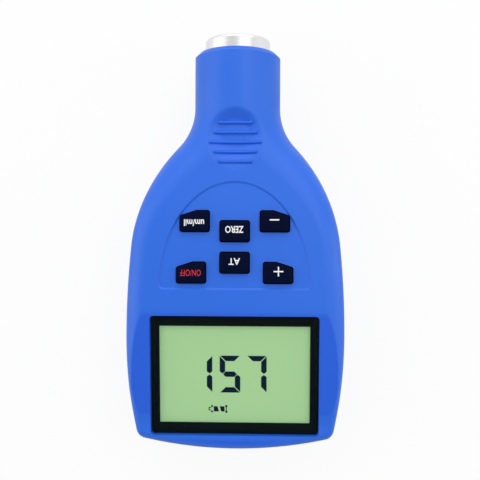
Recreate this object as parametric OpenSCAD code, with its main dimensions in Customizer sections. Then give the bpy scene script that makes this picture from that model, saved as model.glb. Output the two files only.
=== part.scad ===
// Hand-held coating thickness gauge with a sprung probe in its neck.
// It lies on its back: X to the right, Y towards the probe, Z out of the face.

/* [Case] */
// Length of the case from the display end to the end of the neck
body_l = 118.3; // [114:0.1:128]
// Width of the case at its widest
body_w = 64.3; // [62:0.1:70]
// Height of the keypad face above the back
body_t = 27; // [26:0.1:31]
// Height of the probe axis and of the parting line above the back
axis_z = 13; // [13:0.1:14]
// Diameter of the neck
neck_d = 26; // [25.4:0.1:26]
// Wall thickness of both shells
wall = 2; // [1.8:0.1:2.3]
// Gap between the two shells that shows as the seam
seam = 0.2; // [0.1:0.05:0.3]
// Chamfer at the end of the neck
neck_chamfer = 1.3; // [0.6:0.1:1.4]

/* [Case outline] */
// Distance of the widest place from the display end
widest_at = 33.8; // [32:0.1:38]
// Radius of the slightly curved display end
end_radius = 124; // [100:1:200]
// Corner radius at the display end
corner_radius = 3.2; // [3:0.1:6]
// Radius of the sides below the widest place
lower_side_radius = 138; // [110:1:160]
// Radius of the sides above the widest place
upper_side_radius = 256; // [200:1:300]
// Angle over which the upper sides turn inwards
upper_side_turn = 5.9; // [4:0.1:8]
// Radius of the shoulders
shoulder_radius = 52; // [46:0.5:56]
// Radius of the flare between the shoulders and the neck
flare_radius = 18.2; // [16:0.1:22]

/* [Case edges] */
// Width of the rounded edge of the face, seen from above
face_edge_w = 5.9; // [5:0.1:8]
// Height of the rounded edge of the face
face_edge_h = 4.8; // [4.4:0.1:8]
// Edge rounding of the face at the display end
end_rounding = 2.4; // [2.2:0.1:2.8]
// Edge rounding of the back
back_rounding = 5; // [4:0.1:6]

/* [Display] */
// Tilt of the display facet towards the display end
facet_tilt = 5; // [3:0.25:5.5]
// Width of the window plate
window_w = 49; // [46:0.1:50]
// Length of the window plate
window_l = 35.2; // [33:0.1:36]
// Thickness of the window plate
window_t = 1.5; // [1.2:0.1:1.6]
// Distance of the window plate from the display end
window_margin = 4.3; // [4:0.1:7]
// Distance from the window plate to the upper edge of the facet
facet_margin = 1.4; // [0.8:0.1:2]
// Width of the black border at the sides of the visible display
border = 2.5; // [2:0.05:3]
// Width of the black border above the visible display
border_top = 3.1; // [2:0.05:3.4]
// Width of the black border at the display end
border_foot = 3.3; // [2.5:0.05:3.8]

/* [Keypad] */
// Half width of the sunk keypad field
field_half_w = 22.1; // [21:0.1:23]
// Height of the sunk keypad field
field_h = 31.4; // [30:0.1:32]
// Distance from the facet to the keypad field
field_gap = 6.4; // [6:0.1:8]
// Depth of the keypad field
field_depth = 0.3; // [0.2:0.05:0.5]
// Width of a key
key_w = 8.3; // [7.8:0.1:8.9]
// Length of a key
key_l = 5.9; // [5.5:0.1:6.4]
// Height of a key above its field
key_proud = 1.4; // [1:0.1:2]
// Travel of a key
key_travel = 0.8; // [0.5:0.1:1]

/* [Thumb scoop] */
// Distance of the scoop's centre from the top of the keypad field
scoop_gap = 12.3; // [11.6:0.1:13]
// Radius of the ball that shapes the scoop
scoop_radius = 18; // [16:0.1:22]
// Depth of the scoop
scoop_depth = 2.6; // [2:0.1:2.8]
// Spacing of the ribs in the scoop
rib_pitch = 2.9; // [2.5:0.1:3.2]
// Length of the longest rib
rib_l = 15.3; // [13:0.1:15.6]
// Width of a rib
rib_w = 1.1; // [0.8:0.1:1.4]
// Height of a rib above the floor of the scoop
rib_h = 0.9; // [0.5:0.1:1.2]

/* [Probe] */
// Diameter of the plated sleeve
sleeve_d = 19.8; // [19:0.1:20]
// Length of the sleeve outside the neck
sleeve_out = 4.3; // [4:0.1:5]
// Wall thickness of the sleeve
sleeve_wall = 1.4; // [1:0.1:1.8]
// Travel of the probe into the neck
probe_travel = 2.5; // [1.5:0.1:3]
// Wire diameter of the probe spring
spring_wire = 0.9; // [0.7:0.1:1.1]
// Mean diameter of the probe spring
spring_d = 14; // [12:0.1:15]
// Diameter of the magnetic core
core_d = 4; // [3:0.1:4.6]

/* [Power] */
// Diameter of a cell
cell_d = 10.5; // [10:0.1:10.8]
// Length of a cell with its button
cell_l = 44.5; // [43:0.1:45]
// Thickness of the battery door
door_t = 2; // [1.7:0.1:2.2]
// Distance of the battery tub from the display end
tub_margin = 12.1; // [11:0.1:14]

/* [Board] */
// Thickness of the circuit board
board_t = 1.6; // [1:0.1:1.8]
// Height of the board's underside above the back
board_z = 15.8; // [15.5:0.1:16]
// Distance of the board from the display end
board_margin = 7.2; // [7:0.1:9]
// Half width of the board
board_half_w = 23; // [22.6:0.1:23.2]
// Diameter of the case screws
screw_d = 2.4; // [2:0.1:2.6]

/* [Clearances] */
// Running clearance around moving pieces
run_gap = 0.3; // [0.25:0.05:0.35]
// Clearance around pieces that are placed in a pocket
seat_gap = 0.15; // [0.1:0.05:0.2]

/* [Hidden] */
$fn = 48;

shell_blue = [0.19, 0.42, 0.86];
key_navy = [0.04, 0.06, 0.13];
cut = 1;

// Places along Y, from the display end to the probe
overall_l = body_l + sleeve_out;
end_y = -overall_l / 2;
neck_end_y = end_y + body_l;
widest_y = end_y + widest_at;
window_y = end_y + window_margin;
facet_y = window_y + window_l + facet_margin;
field_y = facet_y + field_gap;
scoop_y = field_y + field_h + scoop_gap;

// Outline of the case: arcs that run into each other without a corner, from the display end to the neck
half_w = body_w / 2;
neck_r = neck_d / 2;
end_center = [0, end_y + end_radius];
lower_center = [half_w - lower_side_radius, widest_y];
upper_center = [half_w - upper_side_radius, widest_y];
corner_center = circles_meet(lower_center, lower_side_radius - corner_radius,
                             end_center, end_radius - corner_radius);
end_stop = angle_of(corner_center - end_center);
lower_start = angle_of(corner_center - lower_center);
shoulder_center = arc_point(upper_center, upper_side_radius - shoulder_radius, upper_side_turn);
shoulder_stop = acos((neck_r + flare_radius - shoulder_center[0]) / (shoulder_radius + flare_radius));
flare_center = arc_point(shoulder_center, shoulder_radius + flare_radius, shoulder_stop);
flare_y = flare_center[1];

// Heights and edge roundings that change between the body and the neck
shoulder_y = arc_point(upper_center, upper_side_radius, upper_side_turn)[1];
neck_flat = 0.4;
neck_rounding = neck_r - neck_flat;
end_blend = [6, 20];
face_h = body_t - axis_z;
// How far the rounded edge at the display end lies below the face, just above the facet
facet_drop = (facet_y - end_y) * tan(facet_tilt) - 0.3;
lip_outer = wall - 0.9;
lip_h = 1.4;
window_corner = 1;

// Display stack, measured down from the facet
window_sink = 0.1;
mask_t = 0.3;
pocket_depth = window_sink + window_t + mask_t;
bed_t = 0.7;
facet_wall = pocket_depth + bed_t;
lcd_t = 1.8;
backlight_t = 1.3;
visible_w = window_w - 2 * border;
visible_l = window_l - border_top - border_foot;
visible_y = -facet_margin - border_top;
lcd_edge = 1.5;
lcd_w = visible_w + 2 * lcd_edge;
lcd_l = visible_l + 2 * lcd_edge;
lcd_y = visible_y + lcd_edge;
lcd_z = -facet_wall - 0.1;
backlight_z = lcd_z - lcd_t - 0.1;
strip_l = 2.4;
frame_wall = 0.8;

// Keys as [x, y, side of the slanted edge]. The side keys stand apart from the middle keys in both rows.
upper_spread = 11.6;
lower_spread = 12.6;
upper_side_row = 19.8;
upper_mid_row = 16.9;
lower_mid_row = 7.8;
lower_side_row = 4.9;
KEY_UNIT = [-upper_spread, field_y + upper_side_row, -1];
KEY_ZERO = [0, field_y + upper_mid_row, 0];
KEY_MINUS = [upper_spread, field_y + upper_side_row, 1];
KEY_POWER = [-lower_spread, field_y + lower_side_row, -1];
KEY_TEST = [0, field_y + lower_mid_row, 0];
KEY_PLUS = [lower_spread, field_y + lower_side_row, 1];
KEYS = [KEY_UNIT, KEY_ZERO, KEY_MINUS, KEY_POWER, KEY_TEST, KEY_PLUS];
key_corner = 0.8;
key_bevel = 0.5;
key_slant = [4.9, 1.6];
key_gap = run_gap;
field_corner = 1.4;
field_z = body_t - field_depth;
key_top = field_z + key_proud;
flange_z = body_t - wall - run_gap;
flange_t = 0.8;
flange_w = 1;
stem_inset = 1;
board_top = board_z + board_t;
stem_z = board_top + key_travel + 1.2;
mat_t = 0.8;
mat_rim = 0.9;
collar_top = flange_z - flange_t - key_travel - 0.5;

// Ribs of the scoop
rib_shift = 0.8;
rib_taper = 2.66;

// Probe, along the axis
sleeve_r = sleeve_d / 2;
guide_r = sleeve_r + run_gap;
bore_r = neck_r - wall + 0.2;
sleeve_end = neck_end_y + sleeve_out;
guide_y = neck_end_y - wall;
guide_l = 11.7;
clip_t = 0.8;
clip_y = guide_y - guide_l - run_gap - clip_t;
seat_y = clip_y - 1;
seat_t = 1;
sleeve_in = sleeve_r - sleeve_wall;
seat_r = 5;
insert_y = sleeve_end - 0.6;
insert_t = 4;
coil_r = 6.2;
coil_l = 8;
spring_l = 10;
bulkhead_t = 1.4;
bulkhead_y = seat_y - spring_l;

// Board with a tongue towards the probe, and the socket on the tongue
board_shoulder = [20.5, 27];
tongue_half_w = 8;
tongue_y = bulkhead_y - bulkhead_t - 2;
socket_w = 9;
socket_l = 4;
socket_h = 3;
socket_wall = 0.8;

// Battery tub and door
cell_gap = 0.6;
tub_half_w = cell_d + cell_gap / 2 + run_gap;
plate_t = 0.4;
cell_spring_l = 3.6;
tub_y = end_y + tub_margin;
tub_l = 2 * plate_t + cell_spring_l + cell_l + seat_gap;
tub_wall = 1.4;
door_recess = 0.15;
door_top = door_recess + door_t;
door_half_w = tub_half_w + 2.2;
door_y = tub_y + tub_l + 3.2;
rail_w = 1.2;
rail_t = 1;
grip_count = 5;
grip_pitch = 2.4;
cell_x = (cell_d + cell_gap) / 2;
cell_z = door_top + run_gap + cell_d / 2;
tub_top = cell_z + cell_d / 2 + run_gap;
tub_roof = 0.8;

// Screws
case_screw_at = [[26.2, facet_y + 2], [11.5, scoop_y - 9]];
board_screw_at = [[20.2, facet_y + 3.4], [20.2, field_y + 17.6]];
boss_r = screw_d / 2 + 1.7;
screw_head_d = 4.6;
screw_head_t = 1.8;
screw_sink = 1;
screw_l = 19;
thread_gap = 0.2;
board_screw_d = 1.8;
board_screw_l = 6;
board_head_d = 3.8;
board_head_t = 1.2;
post_r = 2.2;

function arc_point(center, radius, angle) = center + radius * [cos(angle), sin(angle)];
function angle_of(v) = atan2(v[1], v[0]);

// The meeting point, on the right and below, of two circles
function circles_meet(a, ra, b, rb) =
  let (d = norm(b - a), along = (d * d + ra * ra - rb * rb) / (2 * d))
  let (u = (b - a) / d, off = sqrt(ra * ra - along * along))
  a + along * u + off * [u[1], -u[0]];

// Points of an arc as [x, y, direction of the outward normal]
function arc_run(center, radius, from, to, steps, first = 1) =
  [for (i = [first:steps])
    let (angle = from + (to - from) * i / steps, p = arc_point(center, radius, angle))
    [p[0], p[1], angle]];

// The flare curves the other way, so its normals point at its centre
function flare_run(steps) =
  [for (i = [1:steps])
    let (angle = shoulder_stop * (1 - i / steps), p = arc_point(flare_center, -flare_radius, angle))
    [p[0], p[1], angle]];

// Right half of the outline, up to stop_y on the neck
function case_path(stop_y) = concat(
  arc_run(end_center, end_radius, -90, end_stop, 6, 0),
  arc_run(corner_center, corner_radius, end_stop, lower_start, 7),
  arc_run(lower_center, lower_side_radius, lower_start, 0, 6),
  arc_run(upper_center, upper_side_radius, 0, upper_side_turn, 5),
  arc_run(shoulder_center, shoulder_radius, upper_side_turn, shoulder_stop, 10),
  flare_run(9),
  [[neck_r, stop_y, 0]]
);

function mirrored(p) = [-p[0], each [for (i = [1:len(p) - 1]) p[i]]];
function both_sides(right) = concat(right, [for (i = [len(right) - 1:-1:1]) mirrored(right[i])]);
function inset_outline(inset, stop_y) =
  both_sides([for (p = case_path(stop_y)) [p[0] - inset * cos(p[2]), p[1] - inset * sin(p[2])]]);

// Smooth step from 0 to 1 between two places
function smooth(y, from, to) = let (t = min(1, max(0, (y - from) / (to - from)))) t * t * (3 - 2 * t);
function neck_share(y) = smooth(y, shoulder_y, flare_y);
function end_share(y) = 1 - smooth(y, end_y + end_blend[0], end_y + end_blend[1]);
function rounding(y, body) =
  body + (neck_rounding - body) * neck_share(y) + (end_rounding - body) * end_share(y);
function height(y, body, end_drop) = body + (neck_r - body) * neck_share(y) - end_drop * end_share(y);

// One level of the half case: the outline drawn in along its normals, and lifted
function level(path, inset, body_h, edge, end_drop, angle, base) = both_sides([
  for (p = path)
    let (w = rounding(p[1], edge[0]), t = rounding(p[1], edge[1]), h = height(p[1], body_h, end_drop))
    let (d = inset + (base ? 0 : (w - inset) * (1 - cos(angle))))
    [p[0] - d * cos(p[2]), p[1] - d * sin(p[2]), base ? 0 : h - t + (t - inset) * sin(angle)]
]);

// Half of the case above its parting plane as one closed loft. Its rounded edge is [width, height].
module half_case(inset, stop_y, body_h, edge, end_drop, steps) {
  path = case_path(stop_y);
  last = len(path) - 1;
  count = 2 * last + 1;
  levels = [
    level(path, inset, body_h, edge, end_drop, 0, true),
    for (i = [0:steps]) level(path, inset, body_h, edge, end_drop, 90 * i / steps, false)
  ];
  top = (len(levels) - 1) * count;
  sides = [
    for (k = [0:len(levels) - 2], j = [0:count - 1])
      let (a = k * count + j, b = k * count + (j + 1) % count)
      each [[a, a + count, b + count], [a, b + count, b]]
  ];
  cap = [
    for (i = [0:last - 1])
      let (left = (count - i) % count)
      each (i == 0 ? [[0, count - 1, 1]] : [[i, left, left - 1], [i, left - 1, i + 1]])
  ];
  faces = concat(sides, [for (f = cap) f + [top, top, top]], [for (f = cap) [f[2], f[1], f[0]]]);
  polyhedron([for (ring = levels) each ring], faces, convexity = 6);
}

module front_half(inset, stop_y, steps) {
  translate([0, 0, axis_z]) half_case(inset, stop_y, face_h, [face_edge_w, face_edge_h], facet_drop, steps);
}

module rear_half(inset, stop_y, steps) {
  edge = [back_rounding, back_rounding];
  translate([0, 0, axis_z]) mirror([0, 0, 1]) half_case(inset, stop_y, axis_z, edge, 0, steps);
}

// Places children in the plane of the display facet, with its upper edge at the origin
module on_facet() {
  translate([0, facet_y, body_t]) rotate([facet_tilt, 0, 0]) children();
}

// A block from low to high, which are opposite corners
module block(low, high) {
  translate(low) cube(high - low);
}

module rounded_plate(w, l, h, r) {
  linear_extrude(h) offset(r, $fn = 32) square([w - 2 * r, l - 2 * r], center = true);
}

// A round bar along the probe axis from y0 to y1
module axial(r, y0, y1) {
  translate([0, y0, axis_z]) rotate([-90, 0, 0]) cylinder(r = r, h = y1 - y0);
}

module axial_tube(r_out, r_in, y0, y1) {
  difference() {
    axial(r_out, y0, y1);
    axial(r_in, y0 - cut, y1 + cut);
  }
}

module at_both(places) {
  for (p = places, side = [-1, 1]) translate([side * p[0], p[1], 0]) children();
}

// Cut that chamfers the end of the neck
module neck_chamfer_cut() {
  c = neck_chamfer;
  translate([0, neck_end_y, axis_z]) rotate([-90, 0, 0]) rotate_extrude()
    polygon([[neck_r - 2 * c, c], [neck_r + c, -2 * c], [neck_r + 3 * c, c]]);
}

// Bore of the neck and the opening that the sleeve passes through
module neck_bore() {
  axial(bore_r, seat_y - probe_travel - cut, guide_y);
  axial(guide_r, guide_y - cut, neck_end_y + cut);
}

// Outline of a key. The edge towards the probe slants down to its outer end where side is -1 or 1.
module key_outline(side, grow) {
  x = key_w / 2;
  y = key_l / 2;
  slant = abs(side) * key_slant;
  top = side == 0 ? [[x, y]] : [[x, y - slant[1]], [x - slant[0], y]];
  mirror([side < 0 ? 1 : 0, 0]) offset(r = key_corner, $fn = 24) offset(delta = grow - key_corner)
    polygon([[-x, -y], [x, -y], each top, [-x, y]]);
}

module scoop_cut() {
  top = axis_z + height(scoop_y, face_h, 0);
  translate([0, scoop_y, top + scoop_radius - scoop_depth]) difference() {
    sphere(scoop_radius);
    difference() {
      for (k = [-2:2])
        translate([0, k * rib_pitch - rib_shift, -scoop_radius])
          cube([rib_l - rib_taper * abs(k), rib_w, scoop_radius], center = true);
      sphere(scoop_radius - rib_h);
    }
  }
}

// Material left under the scoop inside the case
module scoop_floor() {
  top = axis_z + height(scoop_y, face_h, 0);
  translate([0, scoop_y, top + scoop_radius - scoop_depth]) sphere(scoop_radius + wall);
}

module keypad_field() {
  steps = 40;
  translate([0, field_y, field_z]) linear_extrude(field_depth + cut)
    offset(r = field_corner) offset(delta = -field_corner)
      polygon([for (i = [0:steps]) [field_half_w * cos(180 * i / steps), field_h * sin(180 * i / steps)]]);
}

// A plate lying at depth z under the facet, from its upper edge y down by l
module facet_plate(w, y, l, z, t) {
  on_facet() block([-w / 2, y - l, z - t], [w / 2, y, z]);
}

module front_shell() {
  color(shell_blue) difference() {
    union() {
      difference() {
        front_half(0, neck_end_y, 8);
        difference() {
          front_half(wall, guide_y, 4);
          on_facet() block([-body_w, -body_l, -facet_wall], [body_w, 1, body_t]);
          scoop_floor();
        }
      }
      at_both(case_screw_at) translate([0, 0, axis_z]) cylinder(r = boss_r, h = face_h - wall + 0.3);
    }
    on_facet() block([-body_w, -body_l, 0], [body_w, 0, body_t]);
    on_facet() translate([0, -facet_margin - window_l / 2, -pocket_depth])
      rounded_plate(window_w + 2 * seat_gap, window_l + 2 * seat_gap, body_t, window_corner + seat_gap);
    facet_plate(visible_w + 1, visible_y + 0.5, visible_l + 1, 0, facet_wall + cut);
    keypad_field();
    for (k = KEYS) translate([k[0], k[1], flange_z - cut]) linear_extrude(body_t) key_outline(k[2], key_gap);
    scoop_cut();
    at_both(case_screw_at) translate([0, 0, axis_z - cut])
      cylinder(d = screw_d + thread_gap, h = screw_sink + screw_l - axis_z + 2 * cut);
    lip_ring(lip_outer - seat_gap, wall + cut, axis_z - cut, axis_z + lip_h + seat_gap);
    neck_bore();
    neck_chamfer_cut();
  }
}

// Ring that follows the wall of the case between two insets, up to the start of the flare
module lip_ring(outer, inner, z0, z1) {
  translate([0, 0, z0]) linear_extrude(z1 - z0) difference() {
    polygon(inset_outline(outer, neck_end_y));
    polygon(inset_outline(inner, neck_end_y + cut));
    translate([-body_w, bulkhead_y - 2 * bulkhead_t]) square([2 * body_w, body_l]);
  }
}

module rear_shell() {
  pad_top = door_top + run_gap + 1.7;
  pad_half_w = door_half_w + rail_w + run_gap + 1.5;
  color(shell_blue) difference() {
    union() {
      difference() {
        rear_half(0, neck_end_y, 6);
        rear_half(wall, guide_y, 4);
        block([-body_w, end_y - cut, axis_z - seam], [body_w, neck_end_y + cut, axis_z + cut]);
      }
      block([-tub_half_w - tub_wall, tub_y - tub_wall, cut],
            [tub_half_w + tub_wall, tub_y + tub_l + tub_wall, tub_top + tub_roof]);
      block([-pad_half_w, end_y + wall + 0.6, cut], [pad_half_w, door_y + 1.6, pad_top]);
      at_both(case_screw_at) translate([0, 0, 1.2]) cylinder(r = boss_r + 0.5, h = axis_z - seam - 1.2);
      at_both(board_screw_at) translate([0, 0, cut]) cylinder(r = post_r, h = board_z - cut);
      bulkhead();
      lip_ring(lip_outer, wall - 0.1, axis_z - seam - 1, axis_z + lip_h);
    }
    block([-tub_half_w, tub_y, -cut], [tub_half_w, tub_y + tub_l, tub_top]);
    block([-door_half_w - run_gap, end_y - cut, -cut],
          [door_half_w + run_gap, door_y + run_gap, door_top + run_gap]);
    block([-door_half_w - rail_w - run_gap, end_y - cut, door_top - rail_t - run_gap],
          [door_half_w + rail_w + run_gap, door_y + run_gap, door_top + run_gap]);
    at_both(case_screw_at) {
      translate([0, 0, -cut]) cylinder(d = screw_d + 0.6, h = axis_z + 2 * cut);
      translate([0, 0, -cut]) cylinder(d = screw_head_d + 0.8, h = screw_sink + screw_head_t + cut);
    }
    at_both(board_screw_at) translate([0, 0, board_z - board_screw_l])
      cylinder(d = board_screw_d + thread_gap, h = board_z);
    neck_bore();
    neck_chamfer_cut();
  }
}

// Cross wall that the probe spring pushes against
module bulkhead() {
  intersection() {
    rear_half(wall / 2, guide_y, 4);
    block([-half_w, bulkhead_y - bulkhead_t, 0], [half_w, bulkhead_y, axis_z - seam]);
  }
  block([-spring_d / 2 - 1.4, bulkhead_y - bulkhead_t, axis_z - 2],
        [spring_d / 2 + 1.4, bulkhead_y, axis_z + spring_d / 2 + 0.8]);
}

module battery_door() {
  color(shell_blue) difference() {
    union() {
      intersection() {
        rear_half(0, neck_end_y, 6);
        block([-door_half_w, end_y - cut, door_recess], [door_half_w, door_y, door_top]);
      }
      block([-door_half_w - rail_w, end_y + wall + 1, door_top - rail_t],
            [door_half_w + rail_w, door_y, door_top]);
    }
    for (i = [0:grip_count - 1]) translate([0, tub_y + grip_pitch * (i + 0.5), door_recess])
      cube([door_half_w, grip_pitch / 2, 1], center = true);
  }
}

module display_window() {
  color([0.85, 0.95, 0.9, 0.4]) on_facet()
    translate([0, -facet_margin - window_l / 2, -window_sink - window_t])
      rounded_plate(window_w, window_l, window_t, window_corner);
}

module window_mask() {
  color([0.03, 0.05, 0.06]) difference() {
    on_facet() translate([0, -facet_margin - window_l / 2, -pocket_depth])
      rounded_plate(window_w, window_l, mask_t, window_corner);
    facet_plate(visible_w, visible_y, visible_l, 0, facet_wall);
  }
}

module lcd_panel() {
  color([0.64, 0.82, 0.58]) facet_plate(lcd_w, lcd_y, lcd_l, lcd_z, lcd_t);
}

module backlight() {
  color("white") facet_plate(lcd_w, lcd_y - strip_l, lcd_l - strip_l, backlight_z, backlight_t);
}

// Carrier that stands on the board and holds the display under its window
module lcd_frame() {
  w = lcd_w + 2 * seat_gap;
  l = lcd_l + 2 * seat_gap;
  top_y = facet_y + lcd_y + frame_wall + seat_gap;
  ledge_z = backlight_z - backlight_t - 0.05;
  color([0.12, 0.12, 0.13]) difference() {
    block([-w / 2 - frame_wall, top_y - l - 2 * frame_wall, board_top], [w / 2 + frame_wall, top_y, body_t]);
    on_facet() block([-body_w, -body_l, -facet_wall - 0.05], [body_w, body_l, body_t]);
    facet_plate(w, lcd_y + seat_gap, l, 0, -ledge_z);
    facet_plate(w - 2 * lcd_edge, lcd_y + seat_gap, l - lcd_edge, 0, body_t);
  }
}

// Elastomer strip that joins the display to the board
module lcd_connector() {
  y = facet_y + lcd_y - 0.2;
  color([0.75, 0.6, 0.7]) difference() {
    block([-visible_w / 2 + 1, y - strip_l + 0.8, board_top], [visible_w / 2 - 1, y, body_t]);
    on_facet() block([-body_w, -body_l, lcd_z - lcd_t - 0.05], [body_w, body_l, body_t]);
  }
}

module main_board() {
  w = board_half_w;
  low = end_y + board_margin;
  right = [
    [w, low], [w, field_y + board_shoulder[0]],
    [tongue_half_w, field_y + board_shoulder[1]], [tongue_half_w, tongue_y]
  ];
  left = [for (i = [3:-1:0]) [-right[i][0], right[i][1]]];
  color([0.05, 0.35, 0.18]) difference() {
    translate([0, 0, board_z]) linear_extrude(board_t) polygon(concat(right, left));
    at_both(board_screw_at) translate([0, 0, board_z - cut])
      cylinder(d = board_screw_d + 2 * thread_gap, h = board_t + 2 * cut);
  }
}

module main_chip() {
  size = 10;
  thickness = 1.2;
  color([0.1, 0.1, 0.1])
    block([-size / 2, field_y - size, board_z - thickness], [size / 2, field_y, board_z]);
}

module buzzer() {
  radius = 4.6;
  length = 4.2;
  color([0.08, 0.08, 0.08]) translate([tub_half_w + tub_wall + radius + 1, facet_y - 12, board_z - length])
    difference() {
      cylinder(r = radius, h = length);
      translate([0, 0, -cut]) cylinder(r = 1, h = 1.5 + cut);
    }
}

module probe_socket() {
  x = socket_w / 2;
  y = tongue_y - socket_l - seat_gap;
  top = board_top + socket_h;
  color("ivory") difference() {
    block([-x, y, board_top], [x, y + socket_l, top]);
    block([-x + socket_wall, y + socket_wall, board_top + socket_wall],
          [x - socket_wall, tongue_y + cut, top + cut]);
  }
}

// Mat on the board with a collar around the stem of each key
module keypad_mat() {
  gap = run_gap + 0.1;
  collar_wall = 1;
  x = lower_spread + key_w / 2 + mat_rim;
  low = KEY_POWER[1] - key_l / 2 - mat_rim;
  high = KEY_UNIT[1] + key_l / 2 + mat_rim;
  color([0.2, 0.2, 0.24]) difference() {
    union() {
      block([-x, low, board_top], [x, high, board_top + mat_t]);
      for (k = KEYS) translate([k[0], k[1], board_top])
        linear_extrude(collar_top - board_top) key_outline(k[2], gap + collar_wall - stem_inset);
    }
    for (k = KEYS) translate([k[0], k[1], board_top - cut])
      linear_extrude(body_t) key_outline(k[2], gap - stem_inset);
  }
}

// A key: cap with a bevelled top, flange under the shell and stem towards the board
module key(place) {
  skin = 0.02;
  color(key_navy) translate([place[0], place[1], 0]) {
    hull() {
      translate([0, 0, flange_z]) linear_extrude(key_top - key_bevel - flange_z) key_outline(place[2], 0);
      translate([0, 0, key_top - skin]) linear_extrude(skin) key_outline(place[2], -key_bevel);
    }
    translate([0, 0, flange_z - flange_t]) linear_extrude(flange_t) key_outline(place[2], flange_w);
    translate([0, 0, stem_z]) linear_extrude(flange_z - flange_t - stem_z) key_outline(place[2], -stem_inset);
  }
}

module key_unit() { key(KEY_UNIT); }
module key_zero() { key(KEY_ZERO); }
module key_minus() { key(KEY_MINUS); }
module key_power() { key(KEY_POWER); }
module key_test() { key(KEY_TEST); }
module key_plus() { key(KEY_PLUS); }

// A turned piece on the probe axis, from its profile of [radius, y]
module turned(profile) {
  translate([0, 0, axis_z]) rotate([-90, 0, 0]) rotate_extrude() polygon(profile);
}

module probe_guide() {
  color([0.15, 0.15, 0.16]) axial_tube(bore_r - 0.1, guide_r, guide_y - guide_l, guide_y - 0.05);
}

module probe_sleeve() {
  groove_r = sleeve_r - 0.6;
  g = 0.05;
  edge = 0.5;
  color([0.82, 0.83, 0.84]) turned([
    [seat_r, seat_y], [sleeve_r, seat_y], [sleeve_r, clip_y - g], [groove_r, clip_y - g],
    [groove_r, clip_y + clip_t + g], [sleeve_r, clip_y + clip_t + g], [sleeve_r, sleeve_end - edge],
    [sleeve_r - edge, sleeve_end], [sleeve_in, sleeve_end], [sleeve_in, seat_y + seat_t],
    [seat_r, seat_y + seat_t]
  ]);
}

module probe_insert() {
  r = sleeve_in - 0.05;
  hole = core_d / 2 + 0.1;
  color([0.1, 0.1, 0.1]) turned([
    [coil_r + 0.2, seat_y + seat_t + 0.05], [r, seat_y + seat_t + 0.05], [r, insert_y], [hole, insert_y],
    [hole, insert_y - insert_t], [coil_r + 0.2, insert_y - insert_t]
  ]);
}

module probe_core() {
  color([0.3, 0.3, 0.32]) axial(core_d / 2, seat_y + seat_t + 1, insert_y - 0.4);
}

module probe_coil() {
  color([0.72, 0.4, 0.2])
    axial_tube(coil_r, core_d / 2 + 0.1, insert_y - insert_t - coil_l, insert_y - insert_t - 0.05);
}

module probe_tip() {
  r = core_d / 2;
  h = sleeve_end - 0.1 - (insert_y - 0.4);
  base = insert_y - 0.4;
  steps = 6;
  color([0.6, 0.6, 0.62]) turned(concat(
    [[0, base], [r, base]],
    [for (i = [0:steps]) [r * cos(90 * i / steps) + 0.001, base + h * (0.4 + 0.6 * sin(90 * i / steps))]],
    [[0, base + h]]
  ));
}

module probe_clip() {
  color([0.55, 0.55, 0.57]) difference() {
    axial_tube(bore_r - run_gap, sleeve_r - 0.55, clip_y, clip_y + clip_t);
    block([-1.5, clip_y - cut, axis_z], [1.5, clip_y + clip_t + cut, axis_z + neck_r]);
  }
}

// A coil of wire along Y whose radius runs from r0 to r1
module coil_spring(y0, y1, r0, r1, wire, turns) {
  around = 14;
  sides = 8;
  rings = around * turns;
  rw = wire / 2;
  points = [
    for (i = [0:rings], j = [0:sides - 1])
      let (t = i / rings, turn = 360 * i / around, side = 360 * j / sides)
      let (r = r0 + (r1 - r0) * t + rw * cos(side), y = y0 + rw + (y1 - y0 - wire) * t + rw * sin(side))
      [r * cos(turn), y, r * sin(turn)]
  ];
  skin = [
    for (i = [0:rings - 1], j = [0:sides - 1])
      let (a = i * sides + j, b = i * sides + (j + 1) % sides)
      each [[a, a + sides, b + sides], [a, b + sides, b]]
  ];
  start = [[for (j = [0:sides - 1]) j]];
  stop = [[for (j = [sides - 1:-1:0]) rings * sides + j]];
  polyhedron(points, concat(skin, start, stop), convexity = 8);
}

module probe_spring() {
  color([0.6, 0.61, 0.63]) translate([0, 0, axis_z])
    coil_spring(bulkhead_y + 0.02, seat_y - 0.02, spring_d / 2, spring_d / 2, spring_wire, 5);
}

// A cell with its flat end at the origin and its button towards +Y
module cell() {
  button = 1;
  color([0.78, 0.62, 0.2]) rotate([-90, 0, 0]) {
    cylinder(d = cell_d, h = cell_l - button);
    cylinder(d = 3.8, h = cell_l);
  }
}

module battery_left() {
  translate([-cell_x, tub_y + plate_t + cell_spring_l, cell_z]) cell();
}

module battery_right() {
  translate([cell_x, tub_y + plate_t + seat_gap + cell_l, cell_z]) rotate([0, 0, 180]) cell();
}

module battery_springs() {
  low = tub_y + plate_t;
  high = tub_y + tub_l - plate_t;
  color([0.65, 0.66, 0.68]) {
    translate([-cell_x, 0, cell_z]) coil_spring(low, low + cell_spring_l - 0.05, 3.6, 1.8, 0.6, 4);
    translate([cell_x, 0, cell_z]) coil_spring(high - cell_spring_l + 0.05, high, 1.8, 3.6, 0.6, 4);
  }
}

module battery_contacts() {
  h = cell_d * 0.4;
  color([0.75, 0.75, 0.76]) for (y = [tub_y, tub_y + tub_l - plate_t])
    block([-tub_half_w + 0.4, y, cell_z - h], [tub_half_w - 0.4, y + plate_t, cell_z + h]);
}

// A pan head screw with its head down and a cross recess
module screw(d, l, head_d, head_t) {
  slot = head_d * 0.6;
  difference() {
    union() {
      cylinder(d = head_d, h = head_t);
      cylinder(d = d, h = l);
    }
    for (turn = [0, 90]) rotate(turn) cube([slot, head_d * 0.16, head_t], center = true);
  }
}

module case_screws() {
  color([0.5, 0.5, 0.52]) at_both(case_screw_at) translate([0, 0, screw_sink])
    screw(screw_d, screw_l, screw_head_d, screw_head_t);
}

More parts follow.
